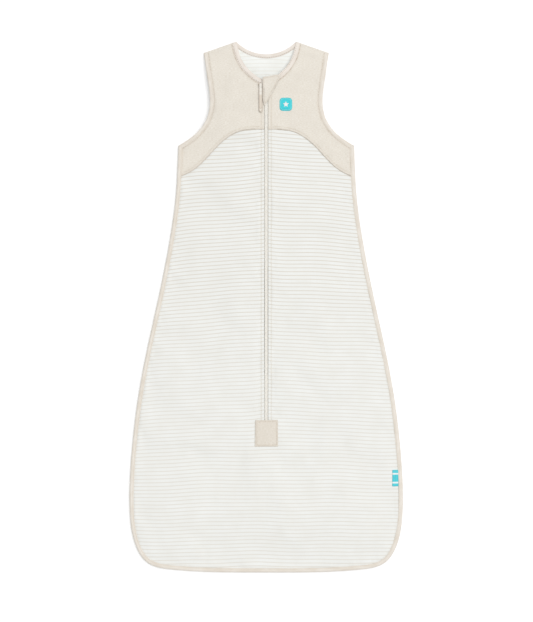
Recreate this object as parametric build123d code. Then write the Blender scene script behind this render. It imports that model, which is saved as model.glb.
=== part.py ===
from build123d import *
import os
from math import atan2, cos, degrees, hypot, pi

# A sleeveless baby sleeping bag lying flat on its back, zipped up.
# +X is across the bag, +Y runs to the head, +Z points up through the front.
# The origin is under the middle of the bag, on the surface that it lies on.

# ---- driving dimensions, mm ------------------------------------------------
LENGTH = 850.0
TOP = LENGTH / 2
HEM = -LENGTH / 2

WIDEST = 218.4          # half width near the hem
UNDERARM = (140.5, 258.0)
SHOULDER_TIP = (100.0, 407.0)
NECK_POINT = (48.0, TOP)
BACK_NECK = 405.0       # lowest point of the back neckline
FRONT_NECK = 361.0      # lowest point of the front neckline

RIM = 5.6               # height of the front's outside where it meets the edge binding
CREST = 15.5            # height of the front's outside along the zip
SURFACE_END = 432.0     # the front's surface is made a little longer than the bag
SHELL = 1.0             # outer fabric
LINING_TOP = -2.1       # lining, measured down from the front's outside
LINING_BOTTOM = -3.0
BACK_SHELL_TOP = 1.0
BACK_LINING = (1.1, 2.1)

EDGE_BINDING = 6.5      # visible width of the bindings
EDGE_BINDING_HEIGHT = 6.6
ARMHOLE_BINDING = 6.0
NECK_BINDING = 7.0
BINDING_PROUD = 0.25    # a binding stands this far above the fabric it holds
BINDING_DEPTH = 3.2

ZIP_BOTTOM = -180.0     # where the chain goes under the patch
SLIT = 3.25             # half the gap between the front's two zip edges
SLIT_END = -195.0
LINING_SLIT = 13.0      # the lining stops at the outer edges of the zip's tapes
LINING_FOOT = -150.0    # and its folding parts stop above the slider's lowest place
NECK_SLIT = 3.7
CHAIN_HALF = 2.2        # half width of the chain
CHAIN_GAP = 0.5         # from the middle to each half's inner edge
CHAIN_BOTTOM, CHAIN_TOP = CREST - 1.25, CREST + 0.7
TAPE_BOTTOM, TAPE_TOP = CREST - 1.9, CREST - 1.3
TAPE_INNER, TAPE_OUTER = 0.6, 12.0
GUARD_BOTTOM, GUARD_TOP = CREST - 4.2, CREST - 3.3
GUARD_REACH = 3.0       # how far the guard behind the zip passes the middle at its top
GUARD_LOW_EDGE = 0.8    # at its foot its free edge stops short of the middle, so that both fronts fold
GUARD_HELD = 13.5

SLIDER_Y = 352.0        # middle of the slider when the bag is closed
SLIDER_LENGTH = 9.5
SLIDER_MOUTH = 4.0      # half width of its wide upper end
SLIDER_TAIL = 2.95      # half width of its narrow lower end
SLIDER_PLATE = 0.8
PIN_Y = SLIDER_Y + 3.0
PIN_Z = CREST + 3.0
PIN_RADIUS = 0.65
PIN_BORE = 0.70
CROWN_RADIUS = 1.38
PIN_RIGHT, PIN_LEFT = 1.9, -12.1
RIBBON_LEFT, RIBBON_RIGHT = -11.5, -6.2
RIBBON_END = 310.0
RIBBON_THICKNESS = 1.2

FOLD_BOTTOM = 14.0      # the fronts fold open along a line from here, beside the zip's end
FOLD_TOP = 47.0         # to here, beside the neck
FOLD_TOP_Y = 398.0
LAPEL_END = 410.0       # the folding part stops short of the shoulder seam
FOLD_GAP = 0.4          # half the gap along the fold

PATCH = (-17.5, 19.0, -223.0, -181.0)
PATCH_THICKNESS = 1.0
BADGE_CENTRE = (31.4, 323.5)
BADGE_SIZE = (20.0, 21.0)
LABEL = (201.8, 210.2, -287.0, -261.0)

# chin guard: its sewn edge runs from the neck down to the zip, and the rest is free
GUARD_SEAM_TOP = (24.5, 371.0)
GUARD_SEAM_BOTTOM = (4.0, 330.0)
GUARD_CORNER = (-5.6, 366.0)
GUARD_TIP = (-2.7, 319.0)
GUARD_BASE = 0.9        # underside at the seam, over the front's crest
GUARD_LEVEL = 5.1       # underside over the slider's crown
GUARD_THICKNESS = 1.1

# half width of the bag down its side, as (height, half width)
SIDE = [(258, 140.5), (190, 143.5), (108, 154), (-7, 177), (-122, 201), (-238, 215.6), (-325, WIDEST)]


# ---- the front's shape -----------------------------------------------------
def half_width(y):
    """Half width that the front's arch spans at height y."""
    if y >= SIDE[0][0]:
        return SIDE[0][1]
    for (y1, w1), (y2, w2) in zip(SIDE, SIDE[1:]):
        if y >= y2:
            return w2 + (w1 - w2) * (y - y2) / (y1 - y2)
    return WIDEST


def fall(y, start, end):
    """1 before start, 0 at end, and a smooth slope between them."""
    t = min(max((y - start) / (end - start), 0.0), 1.0)
    return 0.5 * (1 + cos(pi * t))


def front_height(x, y):
    """Height of the front's outside: an arch across the bag that dies out at hem and shoulders."""
    crown = (CREST - RIM) * fall(y, 362, SURFACE_END) * fall(y, -320, -SURFACE_END)
    return RIM + crown * (1 - (x / half_width(y)) ** 2)


def front_surface():
    xs = [-222 + 444 * i / 16 for i in range(17)]
    ys = [SURFACE_END * (2 * j / 64 - 1) for j in range(65)]
    return Face.make_surface_from_array_of_points(
        [[Vector(x, y, front_height(x, y)) for y in ys] for x in xs], tol=0.02
    )


FRONT = front_surface()


def layer(low, high):
    """The space between low and high, measured up from the front's outside."""
    return extrude(Pos(0, 0, low) * FRONT, amount=high - low, dir=(0, 0, 1))


def front_piece(region, low=-SHELL, high=0.0):
    """A fabric layer of the front, cut to a plan region."""
    return extrude(region, amount=40) & layer(low, high)


def slab(region, low, high):
    return Pos(0, 0, low) * extrude(region, amount=high - low)


def block(x1, x2, y1, y2, z1, z2):
    size = (x2 - x1, y2 - y1, z2 - z1)
    return Pos((x1 + x2) / 2, (y1 + y2) / 2, (z1 + z2) / 2) * Box(*size)


def window(x1, x2, y1, y2):
    return Pos((x1 + x2) / 2, (y1 + y2) / 2) * Rectangle(x2 - x1, y2 - y1)


def mirrored(shape):
    return mirror(shape, about=Plane.YZ)


# ---- plan outlines ---------------------------------------------------------
def side_curve():
    """From the underarm down the side and round to the middle of the hem."""
    points = [(w, y) for y, w in SIDE] + [(212, -372), (190, -409.5), (150, -420.5), (0, HEM)]
    return Spline(*points, tangents=((0.04, -1), (-1, 0)))


def armhole_curve():
    return Spline(
        SHOULDER_TIP, (93.8, 367), (89.6, 329), (94.5, 302), (111, 278.5), UNDERARM,
        tangents=((-0.2, -1), (1, -0.55)),
    )


def front_neck_curve():
    return Spline(NECK_POINT, (41.6, 400), (26, 377), (0, FRONT_NECK), tangents=((-0.25, -1), (-1, -0.25)))


def back_neck_curve():
    return ThreePointArc(NECK_POINT, (0, BACK_NECK), (-NECK_POINT[0], TOP))


def half_region(neck):
    """The right half of the bag in plan, closed along the middle by a straight line."""
    middle = Line((0, HEM), neck @ 1)
    return make_face([neck, Line(NECK_POINT, SHOULDER_TIP), armhole_curve(), side_curve(), middle])


def without_band(region, curve, width):
    """The region with a strip of the given width taken off along one of its edges."""
    return region - trace(curve, line_width=2 * width)


front_half = half_region(front_neck_curve())
front_region = front_half + mirrored(front_half)
back_neck_half = Line(NECK_POINT, (0, BACK_NECK))
back_half = half_region(back_neck_half)
neck_scoop = make_face([back_neck_curve(), Line((-NECK_POINT[0], TOP), NECK_POINT)])
back_region = back_half + mirrored(back_half) - neck_scoop

# the bindings take a strip off each edge, and the fabric pieces fill what is left
inside_edge = without_band(front_half, side_curve(), EDGE_BINDING)
inside_armhole = without_band(inside_edge, armhole_curve(), ARMHOLE_BINDING)
inside_neck = without_band(inside_armhole, front_neck_curve(), NECK_BINDING)
edge_band = front_half - inside_edge
armhole_band = inside_edge - inside_armhole
front_neck_band = inside_armhole - inside_neck
side_bands = edge_band + armhole_band
side_bands += mirrored(side_bands)

front_inner = inside_neck + mirrored(inside_neck)
back_sided = back_region - side_bands
back_inner = without_band(back_sided, back_neck_curve(), NECK_BINDING)
back_neck_band = back_sided - back_inner

yoke_seam = Spline((0, 283), (38, 281), (66, 267), (118, 218), (150, 206), tangents=((1, 0), (1, -0.15)))
yoke_half = make_face(
    [yoke_seam, Polyline((150, 206), (150, 440), (0, 440), (0, 283))]
)
yoke = yoke_half + mirrored(yoke_half)

# the part of the right front that folds open, and the same a little larger
fold_slope = (FOLD_TOP - FOLD_BOTTOM) / (FOLD_TOP_Y - ZIP_BOTTOM)
fold_end = FOLD_BOTTOM + fold_slope * (LAPEL_END - ZIP_BOTTOM)


def lapel_area(margin):
    low, high = ZIP_BOTTOM - margin, LAPEL_END + margin
    return make_face(Polyline(
        (0, low), (FOLD_BOTTOM + margin, low), (fold_end + margin, high), (0, high), (0, low),
    ))


lapel = lapel_area(0)
lapel_hole = lapel_area(2 * FOLD_GAP)
lapel_holes = lapel_hole + mirrored(lapel_hole)

slit = window(-SLIT, SLIT, SLIT_END, 440)
neck_slit = window(-NECK_SLIT, NECK_SLIT, 0, 440)
lining_slit = window(-LINING_SLIT, LINING_SLIT, ZIP_BOTTOM - 3, 440)


# ---- back ------------------------------------------------------------------
def back_parts():
    return {
        "back_panel": slab(back_inner - yoke, 0, BACK_SHELL_TOP),
        "back_yoke": slab(back_inner & yoke, 0, BACK_SHELL_TOP),
        "back_lining": slab(back_inner, *BACK_LINING),
    }


# ---- front -----------------------------------------------------------------
def front_parts():
    shell = front_inner - slit
    fixed = shell - lapel_holes
    lining = front_inner - lining_slit
    right_half = window(0, 240, -440, 440)
    above_foot = window(0, 240, LINING_FOOT, 440)
    parts = {
        "front_panel": front_piece(fixed - yoke),
        "front_yoke_right": front_piece(fixed & yoke & right_half),
        "front_panel_lapel_right": front_piece((shell & lapel) - yoke),
        "front_yoke_lapel_right": front_piece(shell & lapel & yoke),
        "front_lining": front_piece(lining - lapel_holes, LINING_BOTTOM, LINING_TOP),
        "front_lining_lapel_right": front_piece(lining & lapel & above_foot, LINING_BOTTOM, LINING_TOP),
    }
    for name in [name for name in parts if name.endswith("right")]:
        parts[name.replace("right", "left")] = mirrored(parts[name])
    return parts


# ---- bindings --------------------------------------------------------------
def armhole_binding():
    """A loop round the arm's opening: along the front, under the arm, along the back, over the shoulder."""
    top, bottom = BINDING_PROUD, BINDING_PROUD - BINDING_DEPTH
    on_front = front_piece(armhole_band, bottom, top)
    on_back = slab(armhole_band, 0, BACK_LINING[1])
    ends = window(85, 110, 398, 410) + window(126, 150, 250, 275)
    joins = front_piece(armhole_band & ends, -RIM - 6, top) & block(0, 240, 240, 420, 0, 30)
    return on_front + on_back + joins


def neck_bindings():
    """The front's two strips, and one that goes round the back neck to both folds."""
    top, bottom = BINDING_PROUD, BINDING_PROUD - BINDING_DEPTH
    right = front_piece((front_neck_band & lapel) - neck_slit, bottom, top)
    stub = front_piece(front_neck_band - lapel_hole, bottom, top)
    back = slab(back_neck_band, 0, BACK_LINING[1] + 0.4)
    shoulder = slab(back_neck_band, 0, 12) & block(NECK_POINT[0] - 6, 60, 410, 430, 0, 12)
    stub += shoulder - layer(top, 20)
    return {
        "neck_binding_right": right,
        "neck_binding_left": mirrored(right),
        "neck_binding_back": back + stub + mirrored(stub),
    }


def binding_parts():
    armhole = armhole_binding()
    return {
        "edge_binding": slab(edge_band + mirrored(edge_band), 0, EDGE_BINDING_HEIGHT),
        "armhole_binding_right": armhole,
        "armhole_binding_left": mirrored(armhole),
        **neck_bindings(),
    }


# ---- zip -------------------------------------------------------------------
def guard_outline(low, high):
    """The strip behind the zip, sewn along the right tape and tapering at its free edge."""
    return make_face(Polyline(
        (GUARD_HELD, low), (GUARD_HELD, high), (-GUARD_REACH, high), (-GUARD_REACH, high - 100),
        (GUARD_LOW_EDGE, low), (GUARD_HELD, low),
    ))


def zip_parts():
    chain_end = FRONT_NECK - 3.4
    tape_end = FRONT_NECK - 1
    under_binding = FRONT_NECK - NECK_BINDING - 0.6
    low = ZIP_BOTTOM
    tape = block(TAPE_INNER, TAPE_OUTER, low, under_binding, TAPE_BOTTOM, TAPE_TOP)
    tape += block(TAPE_INNER, NECK_SLIT - 0.2, low, tape_end, TAPE_BOTTOM, TAPE_TOP)
    chain = block(CHAIN_GAP, CHAIN_HALF, low, chain_end - 0.1, CHAIN_BOTTOM, CHAIN_TOP)
    stop = block(CHAIN_GAP, CHAIN_HALF + 0.6, chain_end, tape_end, TAPE_TOP, CHAIN_TOP + 0.3)
    return {
        "zip_tape_right": tape,
        "zip_tape_left": mirrored(tape),
        "zip_chain_right": chain,
        "zip_chain_left": mirrored(chain),
        "top_stop_right": stop,
        "top_stop_left": mirrored(stop),
        "zip_tape_end": block(-TAPE_OUTER, TAPE_OUTER, -200, low - 0.8, TAPE_BOTTOM, TAPE_TOP),
        "bottom_stop": block(-2.6, 2.6, -188.5, -184.5, TAPE_TOP, CREST),
        "zip_guard": slab(guard_outline(low + 1, FRONT_NECK - 8), GUARD_BOTTOM, GUARD_TOP),
        "zip_patch": slab(window(*PATCH), CREST + 0.1, CREST + 0.1 + PATCH_THICKNESS),
    }


def slider_plate(mouth, tail, low):
    """Shield-shaped plate: wide where the chain enters open, narrow where it leaves closed."""
    back, front = SLIDER_LENGTH / 2, -SLIDER_LENGTH / 2
    outline = Polyline(
        (-mouth, back - 1.2), (-mouth * 0.55, back), (mouth * 0.55, back), (mouth, back - 1.2),
        (mouth, back - 3), (tail, front), (-tail, front), (-mouth, back - 3), (-mouth, back - 1.2),
    )
    return Pos(0, SLIDER_Y, 0) * slab(make_face(outline), low, low + SLIDER_PLATE)


def slider_body():
    top_low = CHAIN_TOP + 0.1
    bottom_low = TAPE_BOTTOM - 0.15 - SLIDER_PLATE
    top = slider_plate(SLIDER_MOUTH, SLIDER_TAIL, top_low)
    bottom = slider_plate(SLIDER_TAIL + 0.4, SLIDER_TAIL, bottom_low)
    back, front = SLIDER_Y + SLIDER_LENGTH / 2, SLIDER_Y - SLIDER_LENGTH / 2
    flange = block(CHAIN_HALF + 0.15, SLIDER_TAIL, front, back - 3, TAPE_TOP + 0.15, top_low)
    post = block(-0.3, 0.3, back - 3.2, back - 0.6, bottom_low + SLIDER_PLATE, top_low)
    return top + bottom + flange + mirrored(flange) + post


def slider_crown():
    """The bridge on the slider that the pull's pin turns in."""
    plate_top = CHAIN_TOP + 0.1 + SLIDER_PLATE
    half = 1.1
    body = block(-half, half, PIN_Y - CROWN_RADIUS, PIN_Y + CROWN_RADIUS, plate_top, PIN_Z)
    body += Pos(0, PIN_Y, PIN_Z) * Rot(0, 90, 0) * Cylinder(CROWN_RADIUS, 2 * half)
    body += block(-half, half, PIN_Y - 6, PIN_Y, plate_top, plate_top + 0.9)
    return body - Pos(0, PIN_Y, PIN_Z) * Rot(0, 90, 0) * Cylinder(PIN_BORE, 4 * half)


def pull_pin():
    """The pin turns in the crown and carries the ribbon beside the chin guard."""
    length = PIN_RIGHT - PIN_LEFT
    pin = Pos((PIN_RIGHT + PIN_LEFT) / 2, 0, 0) * Rot(0, 90, 0) * Cylinder(PIN_RADIUS, length)
    for x in (PIN_RIGHT, PIN_LEFT):
        pin += Pos(x, 0, 0) * Rot(0, 90, 0) * Cylinder(1.05, 0.6)
    return Pos(0, PIN_Y, PIN_Z) * pin


def pull_ribbon():
    """A ribbon folded double: a loop round the pin and a flat strap that lies on the front."""
    width = RIBBON_RIGHT - RIBBON_LEFT
    middle = (RIBBON_RIGHT + RIBBON_LEFT) / 2
    outer = PIN_BORE + 0.85
    loop = Cylinder(outer, width) - Cylinder(PIN_BORE, width + 1)
    loop = Pos(middle, PIN_Y, PIN_Z) * Rot(0, 90, 0) * loop
    low = PIN_Z - outer
    strap = block(RIBBON_LEFT, RIBBON_RIGHT, RIBBON_END, PIN_Y - 0.75, low, low + RIBBON_THICKNESS)
    return loop + strap


def chin_guard():
    """A flap over the slider: it rises from its seam beside the zip and lies level over the crown."""
    (x1, y1), (x2, y2) = GUARD_SEAM_TOP, GUARD_SEAM_BOTTOM
    length = hypot(x2 - x1, y2 - y1)
    base = CREST + GUARD_BASE
    level = CREST + GUARD_LEVEL
    profile = make_face(Polyline(
        (0.4, base), (1.6, base), (9.0, level), (32, level), (32, level + GUARD_THICKNESS),
        (8.4, level + GUARD_THICKNESS), (0.4, base + GUARD_THICKNESS), (0.4, base),
    ))
    # the profile stands across the seam and is carried along it
    across = Plane(origin=(x1, y1, 0), x_dir=(y2 - y1, x1 - x2, 0), z_dir=(x1 - x2, y1 - y2, 0))
    strip = extrude(across * profile, amount=length + 20, both=True)
    plan = make_face(Polyline(GUARD_SEAM_TOP, GUARD_CORNER, GUARD_TIP, GUARD_SEAM_BOTTOM, GUARD_SEAM_TOP))
    return strip & extrude(plan, amount=40)


# ---- small sewn-on pieces --------------------------------------------------
def badge():
    plan = Pos(*BADGE_CENTRE) * RectangleRounded(*BADGE_SIZE, 6)
    return front_piece(plan, 0.05, 0.65)


def side_label():
    return front_piece(window(*LABEL), 0.05, 0.65)


PARTS = {
    **back_parts(),
    **front_parts(),
    **binding_parts(),
    **zip_parts(),
    "slider_body": slider_body(),
    "slider_crown": slider_crown(),
    "pull_pin": pull_pin(),
    "pull_ribbon": pull_ribbon(),
    "chin_guard": chin_guard(),
    "chest_badge": badge(),
    "side_label": side_label(),
}

os.makedirs("parts", exist_ok=True)
for name, shape in PARTS.items():
    export_step(shape, f"parts/{name}.step")

fold_angle = degrees(atan2(FOLD_TOP - FOLD_BOTTOM, FOLD_TOP_Y - ZIP_BOTTOM))
print("fold line leans", round(fold_angle, 3), "degrees from the zip")
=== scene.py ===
"""A baby sleeping bag lying flat on its back, zipped up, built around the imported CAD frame.

Shapes are worked out in millimetres in the CAD's axes and go into Blender in metres.
+X is across the bag, +Y runs to the head, +Z points up through the front.
"""
import math

import bmesh
import bpy
import numpy as np
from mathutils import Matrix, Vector, geometry, noise


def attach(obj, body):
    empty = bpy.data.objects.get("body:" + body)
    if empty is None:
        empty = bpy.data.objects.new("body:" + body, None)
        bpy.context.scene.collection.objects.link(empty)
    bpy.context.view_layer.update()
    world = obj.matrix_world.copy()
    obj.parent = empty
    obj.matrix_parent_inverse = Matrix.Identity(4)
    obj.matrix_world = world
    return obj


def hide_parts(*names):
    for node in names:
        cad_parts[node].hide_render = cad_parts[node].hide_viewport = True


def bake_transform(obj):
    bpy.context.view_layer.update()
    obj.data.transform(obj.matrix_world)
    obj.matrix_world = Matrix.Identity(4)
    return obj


MM = 0.001
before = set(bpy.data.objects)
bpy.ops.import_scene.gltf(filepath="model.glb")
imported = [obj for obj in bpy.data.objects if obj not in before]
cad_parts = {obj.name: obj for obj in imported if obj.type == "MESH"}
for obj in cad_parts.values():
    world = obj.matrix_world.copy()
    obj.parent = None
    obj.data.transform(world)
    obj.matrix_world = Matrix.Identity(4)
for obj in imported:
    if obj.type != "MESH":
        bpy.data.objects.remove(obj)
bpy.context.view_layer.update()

# ---- driving sizes, mm: the CAD's own, but for those marked ------------------
LENGTH = 850.0
TOP, HEM = LENGTH / 2, -LENGTH / 2
WIDEST = 218.4
UNDERARM = (140.5, 258.0)
SHOULDER_TIP = (100.0, 407.0)
NECK_POINT = (48.0, TOP)
BACK_NECK = 405.0
FRONT_NECK = 361.0
RIM = 5.6
CREST = 15.5
SURFACE_END = 432.0
SHELL = 0.6             # thinner than the CAD's cloth, so that its layers fold clear of each other
LINING_DROP = 2.1
LINING = 0.9
LINING_SLIT = 12.2      # a little further in than the CAD's, over the tape's edge
BACK_SHELL = 1.0
BACK_LINING = 2.1
EDGE_BINDING = 6.5
ARMHOLE_BINDING = 6.0
NECK_BINDING = 7.0
ZIP_BOTTOM = -180.0
SLIT = 3.0              # half the gap between the cloth's folds beside the zip, narrower than the CAD's
SLIT_END = -195.0
SLIDER_Y = 352.0
PIN_Y, PIN_Z = SLIDER_Y + 3.0, CREST + 3.0
PATCH = (-17.5, 19.0, -223.0, -181.0)
BADGE_CENTRE = (31.4, 323.5)
BADGE_SIZE = (20.0, 21.0)
BADGE_CORNER = 6.0
LABEL = (201.8, 210.2, -287.0, -261.0)
GUARD_SEAM_TOP = (24.5, 371.0)
GUARD_SEAM_BOTTOM = (4.0, 330.0)
GUARD_CORNER = (-5.9, 366.2)        # the chin guard's free edge stands a little outside the CAD's
GUARD_SIDE = (-5.9, 333.0)
GUARD_TIP = (-3.3, 320.0)
STRIPE_PITCH = 6.06
STRIPE_WIDTH = 1.5
ZIP_STITCH = 8.0        # from the middle to the topstitching beside the zip
HEM_BAND = 4.6          # from the yoke's lower edge up to its topstitching

# half width of the bag down its side, as (height, half width)
SIDE = [(258, 140.5), (190, 143.5), (108, 154), (-7, 177), (-122, 201), (-238, 215.6), (-325, WIDEST)]


# ---- curves and plan shapes --------------------------------------------------
def unit(v):
    v = np.asarray(v, float)
    return v / np.linalg.norm(v)


def smooth(t):
    """0 below 0, 1 above 1 and a soft step between them."""
    t = np.clip(t, 0, 1)
    return t * t * (3 - 2 * t)


def curve(points, start, end, step=2.0):
    """Points about a step apart on a smooth curve through the given ones, with its end directions."""
    p = np.array(points, float)
    t = np.concatenate([[0], np.cumsum(np.linalg.norm(np.diff(p, axis=0), axis=1))])
    n = len(p)
    rows, right = np.eye(n), np.zeros((n, 2))
    right[0], right[-1] = unit(start), unit(end)
    for i in range(1, n - 1):
        before, after = t[i] - t[i - 1], t[i + 1] - t[i]
        rows[i, i - 1:i + 2] = after, 2 * (before + after), before
        right[i] = 3 * (after * (p[i] - p[i - 1]) / before + before * (p[i + 1] - p[i]) / after)
    slopes = np.linalg.solve(rows, right)
    line = []
    for i in range(n - 1):
        span = t[i + 1] - t[i]
        count = max(2, round(span / step))
        for u in np.arange(count) / count:
            line.append(
                (2 * u**3 - 3 * u**2 + 1) * p[i] + (u**3 - 2 * u**2 + u) * span * slopes[i]
                + (3 * u**2 - 2 * u**3) * p[i + 1] + (u**3 - u**2) * span * slopes[i + 1]
            )
    return np.array(line + [p[-1]])


def straight(a, b, step=2.0):
    count = max(1, round(math.dist(a, b) / step))
    return np.array([np.array(a, float) + (np.array(b, float) - a) * i / count for i in range(count + 1)])


def arc(centre, radius, start, end, count):
    """Points on a circle from one angle to another, in degrees."""
    angles = np.radians(np.linspace(start, end, count))
    return np.array(centre) + radius * np.column_stack([np.cos(angles), np.sin(angles)])


def chained(*lines):
    """Lines of points joined end to end into one outline, without repeated corners."""
    return np.concatenate([line[:-1] for line in lines])


def closed(outline):
    """An outline with its first point again at its end."""
    return np.concatenate([outline, outline[:1]])


def at_height(line, z):
    """A plan line as 3-D points, all at one height or each at its own."""
    return np.column_stack([line, np.broadcast_to(z, len(line))])


def ridge(distance, width):
    """1 at no distance, falling off on both sides."""
    return np.exp(-((distance / width) ** 2))


def flipped(line):
    """The same line on the other side of the bag."""
    return np.asarray(line) * (-1, 1)


def normals(line, turn=1):
    """Unit vectors square to a line at each of its points."""
    d = np.gradient(line, axis=0)
    d /= np.linalg.norm(d, axis=1)[:, None]
    return turn * np.column_stack([d[:, 1], -d[:, 0]])


def beside(line, distance, turn=1):
    return line + distance * normals(line, turn)


def lengths(line):
    """How far along a line each of its points is."""
    return np.concatenate([[0], np.cumsum(np.linalg.norm(np.diff(line, axis=0), axis=1))])


def nearest(points, line):
    """Each point's distance to a line, and how far along the line its nearest place is."""
    best = np.full(len(points), np.inf)
    place = np.zeros(len(points))
    for a, b, start in zip(line[:-1], line[1:], lengths(line)):
        span = b - a
        t = np.clip(((points - a) @ span) / (span @ span), 0, 1)
        gap = np.linalg.norm(points - (a + t[:, None] * span), axis=1)
        closer = gap < best
        best[closer] = gap[closer]
        place[closer] = start + t[closer] * np.linalg.norm(span)
    return best, place


def inside(points, outline):
    x, y = points.T
    found = np.zeros(len(points), bool)
    for (x1, y1), (x2, y2) in zip(outline, np.roll(outline, -1, axis=0)):
        if y1 == y2:
            continue
        crosses = (y1 > y) != (y2 > y)
        found ^= crosses & (x < (x2 - x1) * (y - y1) / (y2 - y1) + x1)
    return found


def plan_area(outline):
    x, y = outline.T
    return abs(np.sum(x * np.roll(y, -1) - y * np.roll(x, -1))) / 2


def grid(x1, x2, y1, y2, step):
    """Points in offset rows, a step apart, so that triangles between them come out even."""
    rows = []
    for i, y in enumerate(np.arange(y1, y2, step * 0.87)):
        xs = np.arange(x1 + (i % 2) * step / 2, x2, step)
        rows.append(np.column_stack([xs, np.full(len(xs), y)]))
    return np.concatenate(rows)


def fill(outline, layers, hole=None):
    """Triangles that fill an outline. layers are (points, room): points used where they are inside,
    at least that room away from the outline."""
    ring = closed(outline)
    kept = []
    for points, room in layers:
        points = points[inside(points, outline)]
        kept.append(points[nearest(points, ring)[0] > room])
    everything = np.concatenate([outline, *kept, *([hole] if hole is not None else [])])
    rings = [list(range(len(outline)))]
    if hole is not None:
        rings.append(list(range(len(everything) - len(hole), len(everything))))
    verts, _, faces, *_ = geometry.delaunay_2d_cdt(
        [Vector(p) for p in everything.tolist()], [], rings, 1, 1e-4
    )
    verts = np.array([(v[0], v[1]) for v in verts])
    faces = np.array([f for f in faces if len(f) == 3])
    if hole is not None:
        middles = verts[faces].mean(axis=1)
        faces = faces[~inside(middles, hole)]
    a, b, c = (verts[faces[:, i]] for i in range(3))
    down = (b[:, 0] - a[:, 0]) * (c[:, 1] - a[:, 1]) - (b[:, 1] - a[:, 1]) * (c[:, 0] - a[:, 0]) < 0
    faces[down] = faces[down][:, ::-1]
    return verts, faces


def between(rows, count, turn=1):
    """Faces between rows of count points each, open at the sides."""
    return [
        (j * count + i, j * count + i + 1, (j + 1) * count + i + 1, (j + 1) * count + i)[::turn]
        for j in range(rows - 1) for i in range(count - 1)
    ]


# ---- the bag's outline -------------------------------------------------------
side_line = curve(
    [(w, y) for y, w in SIDE] + [(212, -372), (190, -409.5), (150, -420.5), (0, HEM)], (0.04, -1), (-1, 0)
)
armhole_line = curve(
    [SHOULDER_TIP, (93.8, 367), (89.6, 329), (94.5, 302), (111, 278.5), UNDERARM], (-0.2, -1), (1, -0.55)
)
neck_line = curve([NECK_POINT, (41.6, 400), (26, 377), (0, FRONT_NECK)], (-0.25, -1), (-1, -0.25))
shoulder_line = straight(NECK_POINT, SHOULDER_TIP)
yoke_line = curve([(0, 283), (38, 281), (66, 267), (118, 218), (150, 206)], (1, 0), (1, -0.15))

neck_drop = TOP - BACK_NECK
back_neck_radius = (NECK_POINT[0] ** 2 + neck_drop**2) / (2 * neck_drop)
back_neck_half = math.degrees(math.asin(NECK_POINT[0] / back_neck_radius))
back_neck_line = arc(
    (0, BACK_NECK + back_neck_radius), back_neck_radius, 270 + back_neck_half, 270 - back_neck_half, 49
)


# ---- the front's shape -------------------------------------------------------
def half_width(y):
    heights, widths = zip(*reversed(SIDE))
    return np.interp(y, heights, widths)


def fall(y, start, end):
    """1 up to start, 0 from end on and a half wave between them."""
    t = np.clip((y - start) / (end - start), 0, 1)
    return 0.5 * (1 + np.cos(np.pi * t))


SEAM_HEIGHT = 2.4       # the front comes down to this along the shoulder seams
SHOULDER_ROLL = 10.0    # over this distance
LEVEL_TOP, LEVEL_FOOT = 362.0, -320.0       # between these it keeps its full height


def front_top(x, y):
    """Height of the front's outside: an arch across the bag, sewn down along the shoulders."""
    x = np.abs(np.asarray(x, float))
    y = np.asarray(y, float)
    crown = (CREST - RIM) * fall(y, LEVEL_TOP, SURFACE_END) * fall(y, LEVEL_FOOT, -SURFACE_END)
    high = RIM + crown * (1 - (x / half_width(y)) ** 2)
    run, rise = SHOULDER_TIP[0] - NECK_POINT[0], SHOULDER_TIP[1] - NECK_POINT[1]
    below = ((x - NECK_POINT[0]) * rise - (y - NECK_POINT[1]) * run) / math.hypot(run, rise)
    closing = np.sqrt(smooth(below / SHOULDER_ROLL))
    return SEAM_HEIGHT + (high - SEAM_HEIGHT) * closing


# ---- slack in the cloth ------------------------------------------------------
SLACK_STEP = 6.0
SLACK_LIMIT = 2.0       # the cloth moves no further than this from the CAD's surface
SLACK_SHARE = 0.5       # how much of its folds is left once the bag has been smoothed flat by hand
SLACK_FRAMES = 25
slack_x = np.arange(-222, 223, SLACK_STEP)
slack_y = np.arange(-432, 433, SLACK_STEP)
slack_places = np.array([(x, y) for y in slack_y for x in slack_x])
full_outline = chained(
    neck_line[::-1], shoulder_line, armhole_line, side_line, flipped(side_line[::-1]),
    flipped(armhole_line[::-1]), flipped(shoulder_line[::-1]), flipped(neck_line),
)


def held_down(points):
    """1 where the cloth is sewn to something stiff, and 0 in the open cloth."""
    near_edge = nearest(points, closed(full_outline)[::3])[0] < EDGE_BINDING + 1
    near_zip = (np.abs(points[:, 0]) < 7) & (points[:, 1] > SLIT_END)
    x1, x2, y1, y2 = PATCH
    near_patch = (np.abs(points[:, 0]) < x2 + 5) & (points[:, 1] > y1 - 5) & (points[:, 1] < y2 + 5)
    return near_edge | near_zip | near_patch | ~inside(points, full_outline)


def soft_noise(x, y, size, seed):
    return noise.noise(Vector((x / size, y / size, seed)))


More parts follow.
